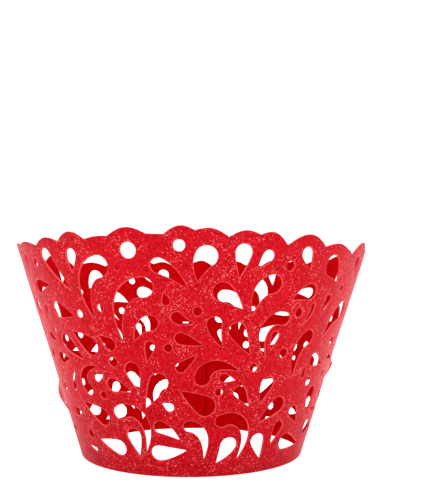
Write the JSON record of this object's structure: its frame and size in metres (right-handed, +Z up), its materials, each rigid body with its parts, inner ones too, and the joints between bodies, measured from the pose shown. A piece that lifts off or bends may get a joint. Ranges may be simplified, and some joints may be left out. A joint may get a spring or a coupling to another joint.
{
  "type": "cupcake wrapper",
  "caption": "Open conical band of laser-cut card, pierced all over with drops, commas and dots, scalloped along the top and hooked shut with a tab and slit at the back.",
  "frame": {"origin": "centre of the bounding box at the level that the foot edge stands on", "axes": "+Z up out of the open top, the front of the pattern faces -Y, the seam is at +Y"},
  "size_m": [0.0819, 0.0822, 0.0475],
  "materials": {
    "pearl_card": "red pearl card with a fine sparkle"
  },
  "bodies": {
    "root": {"wrapper": "pearl_card"}
  },
  "joints": []
}
